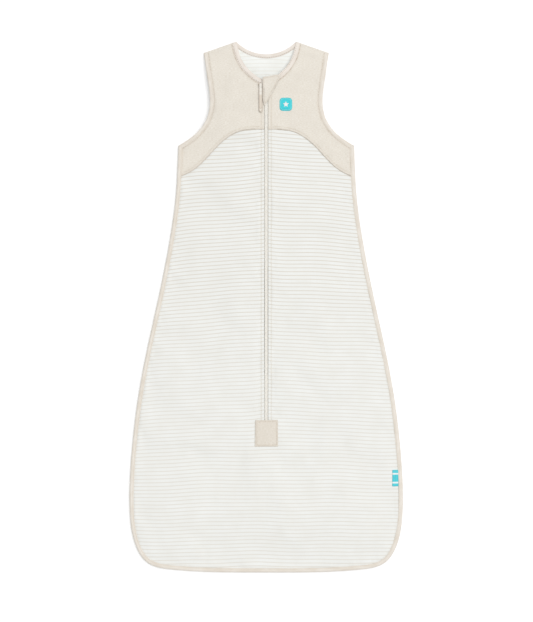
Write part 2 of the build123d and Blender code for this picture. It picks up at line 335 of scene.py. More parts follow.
def simulated_slack():
    """The front as one sheet, cut slightly too large for its bindings and its zip, settles into folds."""
    columns, rows = len(slack_x), len(slack_y)
    held = held_down(slack_places)
    start = np.array([0.5 * soft_noise(x, y, 45, 3.7) for x, y in slack_places])
    start[held] = 0
    mesh = bpy.data.meshes.new("slack")
    mesh.from_pydata(at_height(slack_places, start) * MM, [], between(rows, columns))
    sheet = bpy.data.objects.new("slack", mesh)
    bpy.context.scene.collection.objects.link(sheet)
    group = sheet.vertex_groups.new(name="sewn")
    group.add([int(i) for i in np.flatnonzero(held)], 1.0, "REPLACE")
    cloth_modifier = sheet.modifiers.new("cloth", "CLOTH")
    settings = cloth_modifier.settings
    settings.quality = 6
    settings.mass = 0.1
    settings.tension_stiffness = 12
    settings.compression_stiffness = 12
    settings.shear_stiffness = 4
    settings.bending_stiffness = 1.2
    settings.vertex_group_mass = "sewn"
    settings.shrink_min = -0.012
    settings.effector_weights.gravity = 0
    scene = bpy.context.scene
    for number in range(1, SLACK_FRAMES + 1):
        scene.frame_set(number)
    result = sheet.evaluated_get(bpy.context.evaluated_depsgraph_get()).data
    z = np.array([v.co.z for v in result.vertices]) / MM
    scene.frame_set(1)
    bpy.data.objects.remove(sheet)
    return z.reshape(rows, columns)


slack_field = simulated_slack()
slack_field = SLACK_LIMIT * np.tanh(SLACK_SHARE * slack_field / SLACK_LIMIT)


def slack(x, y):
    """How far the cloth stands off the CAD's surface, in mm."""
    column = np.clip((x - slack_x[0]) / SLACK_STEP, 0, len(slack_x) - 1.001)
    row = np.clip((y - slack_y[0]) / SLACK_STEP, 0, len(slack_y) - 1.001)
    i, j = column.astype(int), row.astype(int)
    u, v = smooth(column - i), smooth(row - j)
    low = slack_field[j, i] * (1 - u) + slack_field[j, i + 1] * u
    high = slack_field[j + 1, i] * (1 - u) + slack_field[j + 1, i + 1] * u
    return low * (1 - v) + high * v


# ---- materials ---------------------------------------------------------------
STUDIO_LIGHT = 1.12     # a white surface facing up looks this bright under the studio's lights


def linear(r, g, b):
    """The surface colour that looks like this on a screen, 0 to 255, under the studio's lights."""
    return tuple(((c / 255 + 0.055) / 1.055) ** 2.4 / STUDIO_LIGHT for c in (r, g, b)) + (1,)


class Look:
    """A procedural material in the making. Calls add nodes and give back their output sockets."""

    def __init__(self, name, **sockets):
        self.material = bpy.data.materials.new(name)
        self.material.use_nodes = True
        self.tree = self.material.node_tree
        self.shader = self.tree.nodes["Principled BSDF"]
        for socket, value in sockets.items():
            self.shader.inputs[socket.replace("_", " ")].default_value = value

    def node(self, kind, inputs, **settings):
        made = self.tree.nodes.new(kind)
        for key, value in settings.items():
            setattr(made, key, value)
        for key, value in inputs.items():
            if isinstance(value, bpy.types.NodeSocket):
                self.tree.links.new(value, made.inputs[key])
            else:
                made.inputs[key].default_value = value
        return made

    def math(self, operation, a, b=0.0, c=0.0):
        return self.node("ShaderNodeMath", {0: a, 1: b, 2: c}, operation=operation).outputs[0]

    def times(self, a, b):
        return self.math("MULTIPLY", a, b)

    def uv(self):
        """Places on the cloth in metres, across and along."""
        place = self.node("ShaderNodeUVMap", {}, uv_map="cloth").outputs[0]
        split = self.node("ShaderNodeSeparateXYZ", {0: place})
        return split.outputs[0], split.outputs[1]

    def ripple(self, place, pitch_mm):
        """A wave from -1 to 1 along a place on the cloth."""
        return self.math("SINE", self.math("MULTIPLY_ADD", place, 2 * math.pi / (pitch_mm * MM), 0.0))

    def noise(self, size_mm, stretch=(1, 1), detail=2.0):
        """Noise from 0 to 1 that sticks to the cloth, in patches about this size."""
        u, v = self.uv()
        place = self.node("ShaderNodeCombineXYZ", {
            0: self.times(u, 1 / (size_mm * MM * stretch[0])),
            1: self.times(v, 1 / (size_mm * MM * stretch[1])),
        }).outputs[0]
        return self.node("ShaderNodeTexNoise", {"Vector": place, "Scale": 1.0, "Detail": detail}).outputs[0]

    def attribute(self, name):
        return self.node("ShaderNodeAttribute", {}, attribute_name=name).outputs["Fac"]

    def mix(self, factor, a, b):
        made = self.node("ShaderNodeMix", {}, data_type="RGBA")
        for socket, value in ((0, factor), (6, a), (7, b)):
            if isinstance(value, bpy.types.NodeSocket):
                self.tree.links.new(value, made.inputs[socket])
            else:
                made.inputs[socket].default_value = value
        return made.outputs[2]

    def spread(self, value, low, high, to_low=0.0, to_high=1.0):
        """A value between low and high moved to between to_low and to_high, and held there beyond them."""
        return self.node(
            "ShaderNodeMapRange",
            {"Value": value, "From Min": low, "From Max": high, "To Min": to_low, "To Max": to_high},
        ).outputs[0]

    def clouded(self, size_mm, a, b, most=1.0, detail=2.0):
        """Colour a with soft patches of b."""
        patches = self.noise(size_mm, detail=detail)
        return self.mix(self.spread(patches, 0.3, 0.7, 0.0, most), a, b)

    def done(self, colour, height, depth_mm, strength=1.0):
        """The finished material, with its colour and with bumps this deep."""
        self.tree.links.new(colour, self.shader.inputs["Base Color"])
        bump = self.node(
            "ShaderNodeBump", {"Height": height, "Distance": depth_mm * MM, "Strength": strength}
        )
        self.tree.links.new(bump.outputs[0], self.shader.inputs["Normal"])
        return self.material


CLOTH = {"Roughness": 0.92, "Sheen_Weight": 0.12, "Sheen_Roughness": 0.6, "Specular_IOR_Level": 0.15}


def knit_height(look, wale=0.95, course=0.75):
    """Plain knit: columns of small V-shaped loops with uneven yarn."""
    u, v = look.uv()
    slant = look.math("PINGPONG", look.times(u, 1 / (wale * MM)), 0.5)
    lean = look.times(slant, 2 * math.pi)
    loops = look.math("SINE", look.math("MULTIPLY_ADD", v, 2 * math.pi / (course * MM), lean))
    columns = look.times(look.math("MULTIPLY_ADD", slant, 1.2, 0.3), 0.35)
    return look.math("MULTIPLY_ADD", loops, columns, look.noise(1.1, (2, 1), 1.0))


def striped_knit(name, ground, stripe, strength):
    look = Look(name, **CLOTH)
    _, v = look.uv()
    wavering = look.math("MULTIPLY_ADD", look.noise(2.2, (2, 1)), 0.35 * MM, v)
    phase = look.math("FRACT", look.times(wavering, 1 / (STRIPE_PITCH * MM)))
    from_middle = look.math("ABSOLUTE", look.math("SUBTRACT", phase, 0.5))
    half = STRIPE_WIDTH / STRIPE_PITCH / 2
    band = look.spread(from_middle, half + 0.025, half - 0.025)
    melange = look.spread(look.noise(0.7, (4, 1)), 0.3, 0.7, 0.75, 1.0)
    faded = look.spread(v, 60 * MM, -120 * MM, strength, strength * 0.72)   # washed paler towards the hem
    band = look.times(look.times(band, melange), faded)
    colour = look.mix(band, ground, stripe)
    colour = look.clouded(28, colour, linear(232, 230, 222), 0.3)
    colour = look.mix(look.times(look.attribute("shade"), 0.6), colour, linear(196, 184, 166))
    return look.done(colour, knit_height(look), 0.14, 0.6)


def oatmeal_knit(name, light, dark):
    look = Look(name, **CLOTH)
    flecks = look.spread(look.noise(0.9, (3.5, 1), 3.0), 0.34, 0.68)
    colour = look.mix(flecks, light, dark)
    colour = look.clouded(18, colour, linear(228, 221, 209), 0.4)
    colour = look.mix(look.times(look.attribute("shade"), 0.8), colour, linear(190, 172, 152))
    return look.done(colour, knit_height(look), 0.14, 0.6)


def ribbed_tape(name, light, dark, rib=0.9, depth=0.12, shadow=0.14):
    """Woven tape with small ribs across its length."""
    look = Look(name, **CLOTH)
    u, v = look.uv()
    ribs = look.ripple(u, rib)
    twill = look.ripple(look.math("ADD", u, v), rib * 0.8)
    uneven = look.noise(1.4, (2, 1))
    height = look.math("ADD", look.math("MULTIPLY_ADD", twill, 0.2, look.times(ribs, 0.3)), uneven)
    tint = look.spread(look.noise(6.0, (3, 1)), 0.3, 0.75)
    colour = look.mix(tint, light, dark)
    colour = look.mix(look.spread(ribs, -1, 1, shadow, 0.0), colour, linear(150, 132, 112))
    return look.done(colour, height, depth, 0.7)


def thread_look(name, colour, dark):
    look = Look(name, Roughness=0.7, Sheen_Weight=0.2, Specular_IOR_Level=0.3)
    u, v = look.uv()
    twist = look.ripple(look.math("ADD", u, v), 0.5)
    return look.done(look.clouded(3.0, colour, dark), twist, 0.05, 0.5)


def nylon_look(name, colour, dark):
    look = Look(name, Roughness=0.42, Specular_IOR_Level=0.4, Coat_Weight=0.1, Coat_Roughness=0.4)
    return look.done(look.clouded(2.0, colour, dark), look.noise(0.4), 0.02, 0.4)


def metal_look(name, colour, dark):
    """Enamelled metal with soft wear and fine orange peel."""
    look = Look(name, Metallic=0.35, Roughness=0.34, Coat_Weight=0.4, Coat_Roughness=0.2)
    wear = look.spread(look.noise(2.5, (1, 1), 4.0), 0.45, 0.75)
    rough = look.spread(wear, 0, 1, 0.28, 0.45)
    look.tree.links.new(rough, look.shader.inputs["Roughness"])
    return look.done(look.mix(wear, colour, dark), look.noise(0.5), 0.02, 0.4)


def pull_look(name):
    """Ribbon with a dark line along both sides, a painted highlight over its upper part that leaves it darker
    lower down, and a pale mark near its end.
    """
    look = Look(name, **CLOTH)
    u, v = look.uv()
    from_middle = look.math("ABSOLUTE", u)
    dark_edges = look.spread(from_middle, 1.75 * MM, 2.05 * MM)
    lower = look.spread(v, 30 * MM, 27 * MM)
    chevron = look.math("SUBTRACT", v, look.times(from_middle, 1.3))
    end_mark = look.times(look.spread(chevron, 2.2 * MM, 2.6 * MM), look.spread(chevron, 5.2 * MM, 4.6 * MM))
    # the paler colour over the upper part is a painted highlight
    colour = look.mix(lower, linear(244, 240, 231), linear(228, 218, 204))
    colour = look.mix(end_mark, colour, linear(240, 234, 222))
    colour = look.mix(look.times(dark_edges, 0.85), colour, linear(192, 174, 158))
    ribs = look.ripple(v, 0.9)
    height = look.math("ADD", look.times(ribs, 0.5), look.noise(0.6))
    return look.done(colour, height, 0.12, 0.7)


def badge_look(name, colour, dark):
    """Soft rubbery print with a fine grain."""
    look = Look(name, Roughness=0.55, Specular_IOR_Level=0.35)
    grain = look.math("ADD", look.noise(0.5), look.noise(2.0))
    return look.done(look.clouded(3.0, colour, dark, detail=3.0), grain, 0.06, 0.5)


def satin_look(name, colour, dark, mark):
    """Woven satin label with a pale line near each end."""
    look = Look(name, Roughness=0.45, Sheen_Weight=0.2, Specular_IOR_Level=0.4)
    u, v = look.uv()
    middle = 0.5 * (LABEL[2] + LABEL[3]) * MM
    half = 0.5 * (LABEL[3] - LABEL[2])
    off = look.math("ABSOLUTE", look.math("SUBTRACT", v, middle))
    start, end = half - 7.2, half - 4.6         # the line's two edges
    line = look.times(
        look.spread(off, (start - 0.2) * MM, (start + 0.2) * MM),
        look.spread(off, (end + 0.2) * MM, (end - 0.2) * MM),
    )
    tinted = look.mix(line, look.clouded(2.0, colour, dark), mark)
    weave = look.times(look.ripple(u, 0.45), look.ripple(v, 0.3))
    return look.done(tinted, weave, 0.05, 0.5)


striped_cotton = striped_knit("striped_cotton", linear(244, 245, 242), linear(220, 212, 198), 0.88)
lining_cotton = striped_knit("lining_cotton", linear(253, 255, 252), linear(232, 226, 213), 0.4)
oatmeal_cotton = oatmeal_knit("oatmeal_cotton", linear(245, 240, 231), linear(227, 219, 205))
binding_tape = ribbed_tape("binding_tape", linear(244, 238, 229), linear(232, 223, 210), shadow=0.08)
neck_tape = ribbed_tape("neck_tape", linear(247, 240, 232), linear(234, 224, 213), shadow=0.05)
zip_tape = ribbed_tape("zip_tape", linear(255, 254, 249), linear(250, 247, 240), rib=0.7, shadow=0.02)
thread = thread_look("thread", linear(236, 227, 211), linear(220, 207, 187))
white_thread = thread_look("white_thread", linear(252, 249, 242), linear(240, 235, 225))
dark_thread = thread_look("dark_thread", linear(184, 168, 150), linear(158, 140, 124))
zip_coil = nylon_look("zip_coil", linear(255, 253, 247), linear(246, 241, 231))
zip_metal = metal_look("zip_metal", linear(226, 216, 200), linear(196, 182, 162))
pull_ribbon = pull_look("pull_ribbon")
badge_print = badge_look("badge_print", linear(62, 218, 226), linear(44, 203, 214))
badge_white = badge_look("badge_white", linear(244, 247, 246), linear(226, 234, 235))
badge_pale = badge_look("badge_pale", linear(146, 232, 236), linear(120, 220, 228))
label_ribbon = satin_look("label_ribbon", linear(84, 216, 226), linear(60, 200, 214), linear(238, 245, 245))


# ---- making pieces -----------------------------------------------------------
def piece(name, verts, faces, look, slot=None, uv=None, shade=None):
    """A smooth mesh object from millimetre points. uv is a place on the cloth for each point, in mm."""
    mesh = bpy.data.meshes.new(name)
    verts = np.asarray(verts, float) * MM
    mesh.from_pydata(verts.tolist(), [], [tuple(int(i) for i in f) for f in faces])
    mesh.polygons.foreach_set("use_smooth", [True] * len(mesh.polygons))
    uv = np.asarray(verts[:, :2] / MM if uv is None else uv, float) * MM
    layer = mesh.uv_layers.new(name="cloth")
    corners = np.zeros(len(mesh.loops), int)
    mesh.loops.foreach_get("vertex_index", corners)
    layer.data.foreach_set("uv", uv[corners].astype(np.float32).ravel())
    values = np.zeros(len(verts)) if shade is None else np.asarray(shade, float)
    mesh.attributes.new("shade", "FLOAT", "POINT").data.foreach_set("value", values.astype(np.float32))
    mesh.materials.append(look)
    mesh.validate()
    made = bpy.data.objects.new(name, mesh)
    bpy.context.scene.collection.objects.link(made)
    return made


def formed(name, shape, look, slot=None):
    """A piece from a shape, which is (verts, faces, uv)."""
    verts, faces, uv = shape
    return piece(name, verts, faces, look, slot, uv)


def laid(name, plan, z, faces, look, slot=None, shade=None):
    """A piece from plan points and their heights, whose cloth is cut level with the plan."""
    return piece(name, at_height(plan, z), faces, look, slot, plan, shade)


def placed(made, node, body):
    """A piece stands for a CAD node, if one is named, and rides on a body."""
    if node:
        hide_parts(node)
    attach(made, body)


def sharpen_middle(made):
    """Keeps the shading of the front's two halves smooth across the line where they meet."""
    mesh = made.data
    middle = [abs(v.co.x) < 1e-7 for v in mesh.vertices]
    for edge in mesh.edges:
        edge.use_edge_sharp = all(middle[i] for i in edge.vertices)


def thicken(made, thickness, offset=-1):
    solid = made.modifiers.new("thickness", "SOLIDIFY")
    solid.thickness = thickness * MM
    solid.offset = offset
    return made


def bevelled(made, width, segments=3):
    bevel = made.modifiers.new("edges", "BEVEL")
    bevel.width = width * MM
    bevel.segments = segments
    bevel.limit_method = "ANGLE"
    made.modifiers.new("normals", "WEIGHTED_NORMAL")
    return made


# where each front turns back: the cloth bends between the fixed part and the folding part
BEND = 14.0
BEND_FOOT, BEND_HEAD = np.array((0.0, -164.0)), np.array((48.5, 425.0))
bend_along = unit(BEND_HEAD - BEND_FOOT)
bend_across = np.array((-bend_along[1], bend_along[0]))
BEND_ROOM = 3.0         # the lining hangs this much lower there, to lie round the outside of the bend


def bend_share(p):
    """0 to 1 from one side of the bend to the other, for places on the right half."""
    return (p - BEND_FOOT) @ bend_across / BEND


def bend_room(x, y):
    """How much lower the lining hangs at places on the right half."""
    share = bend_share(np.column_stack([x, y]))
    return BEND_ROOM * smooth(share / 0.25) * smooth((1.3 - share) / 0.35) * smooth((y + 150) / 60)


def on_front(made, side):
    """A piece of the front, with its placing baked into its mesh. side is 1 on the right and -1 on the left.
    """
    start, end = BEND_FOOT * (side, 1), (BEND_FOOT + BEND * bend_across) * (side, 1)
    place = [Vector((*p, CREST)) * MM for p in (start, end)]
    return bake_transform(made)


def side_name(side):
    return "right" if side > 0 else "left"


# ---- the front's cloth -------------------------------------------------------
def droop(x, y):
    """How far the stripes hang below level: they arch a little over the bag and peak at the zip."""
    width = half_width(y)
    share = np.clip(np.abs(x) / width, 0, 1)
    lower = smooth((y + 380) / 260) * smooth((330 - y) / 200)
    drop = np.where(x < 0, 11.0, 6.5) * (0.35 + 0.65 * lower) * share**1.7
    peak = -3.0 * np.exp(-np.abs(x + 2) / 16) * smooth((y + 230) / 60)
    sway = 0.7 * np.sin(x / 31 + y / 57) + 0.5 * np.sin(x / 17 - y / 83 + 1)
    return drop + peak + sway


def cloth_place(x, y):
    return np.column_stack([x, y + droop(x, y)])


def gathers(distance, along, band, pitch, depth=0.24, reach=6.0):
    """Small puckers that fan out from a sewn band."""
    wave = np.sin(2 * np.pi * along / pitch + 1.7 * np.sin(along / 23) + 1.1 * np.sin(along / 9.1))
    amount = 0.6 + 0.4 * np.sin(along / 37 + 1)
    return depth * amount * wave * np.exp(-np.clip(distance - band, 0, None) / reach) * (distance > band - 1)


# each bound edge: its line, its binding's width, the pitch of the puckers beside it and its shadow
BOUND_EDGES = (
    (side_line, EDGE_BINDING, 7.3, 0.3), (armhole_line, ARMHOLE_BINDING, 6.1, 0.7),
    (neck_line, NECK_BINDING, 6.7, 1.1),
)


def fitted(p, side):
    """Height and shade of the front's outer cloth at points on its right half, drawn for either side."""
    x, y = p.T
    z = front_top(x, y) + slack(x * side, y)
    shade = np.zeros(len(x))
    for line, band, pitch, dark in BOUND_EDGES:
        distance, along = nearest(p, line[::2])
        z -= 1.0 * smooth((band + 0.8 - distance) / 1.8)
        z += gathers(distance, along + 13 * side, band, pitch) * smooth(x / 12)
        shade += dark * np.exp(-np.abs(distance - band - 0.5) / 0.8)
    # the fold beside the zip, its topstitching and the puckers that this makes
    beside_zip = smooth((y - SLIT_END + 4) / 6)
    z -= 0.55 * np.exp(-np.clip(x - SLIT, 0, None) / 0.5) * beside_zip
    z -= 0.45 * ridge(x - ZIP_STITCH, 1.1) * beside_zip
    ladder = np.sin(2 * np.pi * y / 5.3 + 1.3 * np.sin(y / 19 + side) + 0.8 * np.sin(y / 7.3))
    z += 0.36 * ladder * ridge(x - ZIP_STITCH, 3.4) * beside_zip
    shade += 0.2 * ridge(x - ZIP_STITCH, 0.9) * beside_zip
    return z, shade


COLUMNS = (3.75, 4.5, 5.6, 6.8, 8.0, 9.2, 10.6, 12.2, 14.0, 16.0)    # close columns of points beside the zip
COLUMNS_END = (17.0, -226.0)        # the other points stay outside this distance and below this height
FINE, COARSE, BAND = 2.2, 4.6, 15.0         # fine points in a band along the edges, coarse ones inside it
YOKE_OVERLAP = 3.5                  # the panel runs on this far under the yoke
every_place = (0, 224, -430, 430)
coarse_grid = grid(*every_place, COARSE)
fine_grid = grid(*every_place, FINE)


def half_layers(outline):
    """Coarse points in the open cloth, fine ones near its edges, and columns beside the zip."""
    columns = np.array([(x, y) for y in np.arange(-224, 360, 1.8) for x in COLUMNS])
    ring = closed(outline)[::3]
    fine, coarse = (
        points[(points[:, 0] >= COLUMNS_END[0]) | (points[:, 1] <= COLUMNS_END[1])]
        for points in (fine_grid, coarse_grid)
    )
    fine = fine[nearest(fine, ring)[0] < BAND]
    coarse = coarse[nearest(coarse, ring)[0] >= BAND + 1.5]
    return [(columns, 0.4), (fine, FINE * 0.45), (coarse, COARSE * 0.45)]


def middle_edge(x, low, high):
    """The front's edge by the zip: straight up the middle below the slit, then along the slit."""
    corner = (0, SLIT_END - 6)
    below = chained(straight((0, low), corner), straight(corner, (x, SLIT_END)))
    return np.concatenate([below, straight((x, SLIT_END), (x, high), 1.8)])


def upto(line, x):
    """A line that runs towards the middle, cut off where it crosses x."""
    kept = line[line[:, 0] > x + 0.3]
    last, following = kept[-1], line[len(kept)]
    t = (last[0] - x) / (last[0] - following[0])
    return np.concatenate([kept, [last + t * (following - last)]])


def from_zip(line):
    """A line that runs out from the middle, started at the zip's slit instead."""
    kept = line[line[:, 0] > SLIT + 0.5]
    return np.concatenate([[(SLIT, kept[0][1])], kept])


def crossing(line, other):
    """Index of the point on a line that is nearest another line."""
    return int(np.argmin(nearest(line, other)[0]))


def front_outlines():
    """Plan outlines of the right half of the striped panel and of the yoke."""
    tuck = from_zip(beside(yoke_line, YOKE_OVERLAP, -1))
    panel = chained(
        middle_edge(SLIT, HEM, tuck[0][1]), tuck[:crossing(tuck, side_line) + 1],
        side_line[crossing(side_line, tuck):],
    )
    seam = from_zip(yoke_line)
    neck = upto(neck_line, SLIT)
    yoke = chained(
        straight((SLIT, seam[0][1]), neck[-1], 1.8), neck[::-1], shoulder_line, armhole_line,
        side_line[:crossing(side_line, seam) + 1], seam[:crossing(seam, side_line)][::-1],
    )
    return panel, yoke


def declare(outline):
    """Works out a plan outline's area, in square metres, and keeps nothing of it."""
    float(plan_area(outline)) * MM * MM


def front_sheet(name, side, outline, sheet, z, cloth, thickness, nodes, shade=None):
    """A cloth layer of one half of the front. sheet is (plan points, faces) and cloth is (look, slot)."""
    (x, y), faces = sheet[0].T, sheet[1]
    made = piece(
        name + side_name(side), np.column_stack([x * side, y, z]), faces[:, ::side], *cloth,
        cloth_place(x * side, y), shade,
    )
    thicken(made, thickness)
    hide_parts(*nodes)
    on_front(made, side)
    declare(outline)
    return made


def make_front():
    panel_outline, yoke_outline = front_outlines()
    panel = fill(panel_outline, half_layers(panel_outline))
    yoke = fill(yoke_outline, half_layers(yoke_outline))
    panel_seam, _ = nearest(panel[0], yoke_line)
    above = panel[0][:, 1] > np.interp(panel[0][:, 0], *yoke_line.T)
    under = np.where(above, panel_seam, -panel_seam)
    yoke_seam, yoke_along = nearest(yoke[0], yoke_line)
    for side in (1, -1):
        name = side_name(side)
        z, shade = fitted(panel[0], side)
        z -= 0.75 * smooth((under + 1.4) / 1.2)
        z += gathers(-under, panel[0][:, 0] + 50, 0.0, 8.1, 0.2, 7.0) * (under < 0)
        shade += 0.15 * np.exp(-np.abs(under + 0.8) / 0.8)
        sharpen_middle(front_sheet(
            "striped_front_", side, panel_outline, panel, z, (striped_cotton, "striped_cotton"), SHELL,
            ("front_panel", f"front_panel_lapel_{name}"), shade,
        ))
        z, shade = fitted(yoke[0], side)
        z += 0.45 * np.exp(-yoke_seam / 5) - 0.5 * np.exp(-yoke_seam / 0.45)
        z -= 0.4 * ridge(yoke_seam - HEM_BAND, 0.9)
        ripple = np.sin(yoke_along / 5.1 + 2.1 * np.sin(yoke_along / 17) + side)
        z += (0.22 + 0.2 * (side > 0)) * ripple * ridge(yoke_seam - 3, 4.5)
        shade += 0.08 * smooth((HEM_BAND + 0.3 - yoke_seam) / 0.8) + 0.4 * np.exp(-yoke_seam / 0.7)
        front_sheet(
            "yoke_front_", side, yoke_outline, yoke, z, (oatmeal_cotton, "oatmeal_cotton"), SHELL,
            (f"front_yoke_{name}", f"front_yoke_lapel_{name}"), shade,
        )


def make_front_lining():
    neck = upto(neck_line, LINING_SLIT)
    edge = middle_edge(LINING_SLIT, HEM, neck[-1][1])
    outline = chained(edge, neck[::-1], shoulder_line, armhole_line, side_line)
    # finer points where it bends
    coarse, fine = grid(*every_place, 6.0), grid(*every_place, 2.5)
    coarse = coarse[np.abs(bend_share(coarse) - 0.6) >= 0.95]
    fine = fine[np.abs(bend_share(fine) - 0.6) < 0.75]
    sheet = fill(outline, [(coarse, 2.6), (fine, 1.1)])
    x, y = sheet[0].T
    for side in (1, -1):
        z = front_top(x, y) + slack(x * side, y)
        low = np.minimum(LINING_DROP + bend_room(x, y), np.clip(z - BACK_LINING - LINING - 0.2, 0.3, None))
        front_sheet(
            "lining_front_", side, outline, sheet, z - low, (lining_cotton, "lining_cotton"), LINING,
            ("front_lining", f"front_lining_lapel_{side_name(side)}"),
        )


# ---- the back ----------------------------------------------------------------
BACK_DIP = 0.22         # how far the back's layers dip here and there
BACK_WAVE = 0.9         # how far the loose lining stands up
WAVE_SIZE = 24          # about this far apart


def make_back():
    """Three flat layers under everything, with the cloth's own small unevenness."""
    upper = (back_neck_line[::-1], shoulder_line, armhole_line)
    left = (flipped(armhole_line[::-1]), flipped(shoulder_line[::-1]))
    whole = chained(*upper, side_line, flipped(side_line[::-1]), *left)
    end = crossing(side_line, yoke_line)
    seam = yoke_line[:crossing(yoke_line, side_line)]
    across = np.concatenate([flipped(seam[::-1])[:-1], seam])
    panel = chained(across, side_line[end:], flipped(side_line[end:])[::-1])
    yoke = np.concatenate([
        chained(*upper), side_line[:end], across[::-1], chained(flipped(side_line[:end])[::-1], *left),
    ])
    points = grid(-224, 224, -430, 430, 6.0)
    thin = BACK_SHELL - 0.25
    sheets = (
        ("striped_back", panel, BACK_SHELL, thin, striped_cotton, "striped_cotton", "back_panel"),
        ("yoke_back", yoke, BACK_SHELL, thin, oatmeal_cotton, "oatmeal_cotton", "back_yoke"),
        ("lining_back", whole, BACK_LINING, 0.8, lining_cotton, "lining_cotton", "back_lining"),
    )
    for name, outline, top, thickness, look, slot, node in sheets:
        plan, faces = fill(outline, [(points, 2.6)])
        x, y = plan.T
        edge = nearest(plan, closed(whole)[::3])[0]
        rise = np.array([0.5 + 0.5 * soft_noise(a, b, WAVE_SIZE, 8.2) for a, b in plan])
        z = top - BACK_DIP * rise
        if node == "back_lining":
            z += BACK_WAVE * np.clip(rise - 0.4, 0, None) * smooth((edge - 12) / 30)
        level = np.column_stack([x, y + 2.0 * (x / 48) ** 2])
        made = piece(name, np.column_stack([x, y, z]), faces, look, slot, level)
        thicken(made, thickness)
        placed(made, node, "root")
        declare(outline)


# ---- bindings ----------------------------------------------------------------
def sides_of(rows, count):
    """Faces between rows of count points each, closed round and at both ends."""
    faces = [
        (j * count + i, j * count + (i + 1) % count, (j + 1) * count + (i + 1) % count, (j + 1) * count + i)
        for j in range(rows - 1) for i in range(count)
    ]
    return faces + [tuple(range(count))[::-1], tuple((rows - 1) * count + i for i in range(count))]


def strip(line, turn, section, height):
    """Points and faces of a closed section carried along a plan line.
    section holds (distance in from the line, height); height(x, y, h, s) gives where a point stands."""
    girth = lengths(np.array(section, float))
    verts, uv = [], []
    for p, n, s in zip(line, normals(line, turn), lengths(line)):
        sway = 0.12 * math.sin(s / 5.7 + 1.3 * math.sin(s / 13)) + 0.1 * math.sin(s / 23)
        for (a, h), g in zip(section, girth):
            x, y = p + n * (a + sway * (a > 3))
            verts.append((x, y, height(x, y, h, s)))
            uv.append((s, g))
    return verts, sides_of(len(line), len(section)), uv


def joined(*parts):
    """Several (verts, faces, uv) as one."""
    verts, faces, uv = [], [], []
    for more_verts, more_faces, more_uv in parts:
        start = len(verts)
        verts += list(more_verts)
        faces += [tuple(i + start for i in f) for f in more_faces]
        uv += list(more_uv)
    return verts, faces, uv


def outward(made):
    """Makes a closed mesh's faces look outward."""
    mesh = bmesh.new()
    mesh.from_mesh(made.data)
    bmesh.ops.recalc_face_normals(mesh, faces=mesh.faces)
    mesh.to_mesh(made.data)
    mesh.free()
    return made


TAPE_WRAP = 0.35        # a binding's outer edge stands this far outside the edges it holds
ARM_DEPTH, NECK_DEPTH = 2.6, 2.4        # how far the front's bindings reach down from its outside


def tape_section(width, bottom, top, roll):
    """A folded tape's section: round at its outer edge, with a shallow crown and a turned inner edge."""
    mid = (top + bottom) / 2
    return [
        (width, bottom), (width * 0.5, bottom), (roll, bottom),
        (roll * 0.25 - TAPE_WRAP, bottom + roll * 0.35), (-TAPE_WRAP, mid),
        (roll * 0.2 - TAPE_WRAP, top - roll * 0.45), (roll * 0.75, top - roll * 0.08),
        (width * 0.36, top + 0.12), (width * 0.6, top + 0.1), (width - 1.5, top - 0.28),
        (width - 0.8, top - 0.02), (width - 0.25, top - 0.1), (width, top - 0.5),
    ]


def puckered(s, pitch=6.4, depth=0.13):
    return depth * math.sin(2 * math.pi * s / pitch + 1.5 * math.sin(s / 19)) * (0.6 + 0.4 * math.sin(s / 41))


def on_cloth(depth, pitch, pucker=0.13):
    """Where a section that reaches down by depth stands on the front's cloth, and above the back."""
    def height(x, y, h, s):
        place = float(front_top(x, y)) + h + puckered(s, pitch, pucker) * (h > -1)
        return max(place, 0.3 + 0.12 * (h + depth))
    return height


def make_bindings():
    loop = np.concatenate([side_line, flipped(side_line[::-1])[1:]])
    section = tape_section(EDGE_BINDING, 0.0, 6.7, 2.2)
    shape = strip(loop, 1, section, lambda x, y, h, s: h + (puckered(s) if h > 5 else 0))
    placed(outward(formed("edge_tape", shape, binding_tape, "binding_tape")), "edge_binding", "root")

    # the arm's opening: one strip along the front's edge and one along the back's, meeting at both ends
    upper = tape_section(ARMHOLE_BINDING, -ARM_DEPTH, 0.35, 1.3)
    lower = tape_section(ARMHOLE_BINDING, 0.0, BACK_LINING + 0.2, 1.0)
    for side in (1, -1):
        name, line = side_name(side), armhole_line * (side, 1)
        shape = joined(
            strip(line, side, upper, on_cloth(ARM_DEPTH, 5.3)), strip(line, side, lower, lambda x, y, h, s: h)
        )
        made = outward(formed(f"armhole_tape_{name}", shape, binding_tape, "binding_tape"))
        placed(made, f"armhole_binding_{name}", "root")

    # the shoulder seams, front and back yoke turned in together
    section = [
        (1.9, 0.3), (0.3, 0.0), (-0.3, 0.4), (-0.5, 1.2), (-0.3, 2.0), (0.3, 2.5), (1.2, 2.65), (1.9, 2.3),
    ]

    def seam_top(x, y, h, s):
        return h if h < 2 else h - SEAM_HEIGHT + float(front_top(x, y))

    for side in (1, -1):
        shape = strip(shoulder_line * (side, 1), side, section, seam_top)
        made = outward(formed(f"shoulder_seam_{side_name(side)}", shape, oatmeal_cotton, "oatmeal_cotton"))
        placed(made, None, "root")

    section = tape_section(NECK_BINDING, -NECK_DEPTH, 0.4, 1.2)
    neck = upto(neck_line, SLIT + 0.6)
    for side in (1, -1):
        name = side_name(side)
        shape = strip(neck * (side, 1), -side, section, on_cloth(NECK_DEPTH, 5.9, 0.1))
        made = outward(formed(f"neck_tape_{name}", shape, neck_tape, "binding_tape"))
        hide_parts(f"neck_binding_{name}")
        on_front(made, side)

    section = tape_section(NECK_BINDING - 0.6, 0.0, BACK_LINING + 0.5, 1.1)
    shape = strip(back_neck_line, -1, section, lambda x, y, h, s: h + puckered(s, 5.9, 0.08) * (h > 2))
    placed(outward(formed("neck_tape_back", shape, neck_tape, "binding_tape")), "neck_binding_back", "root")


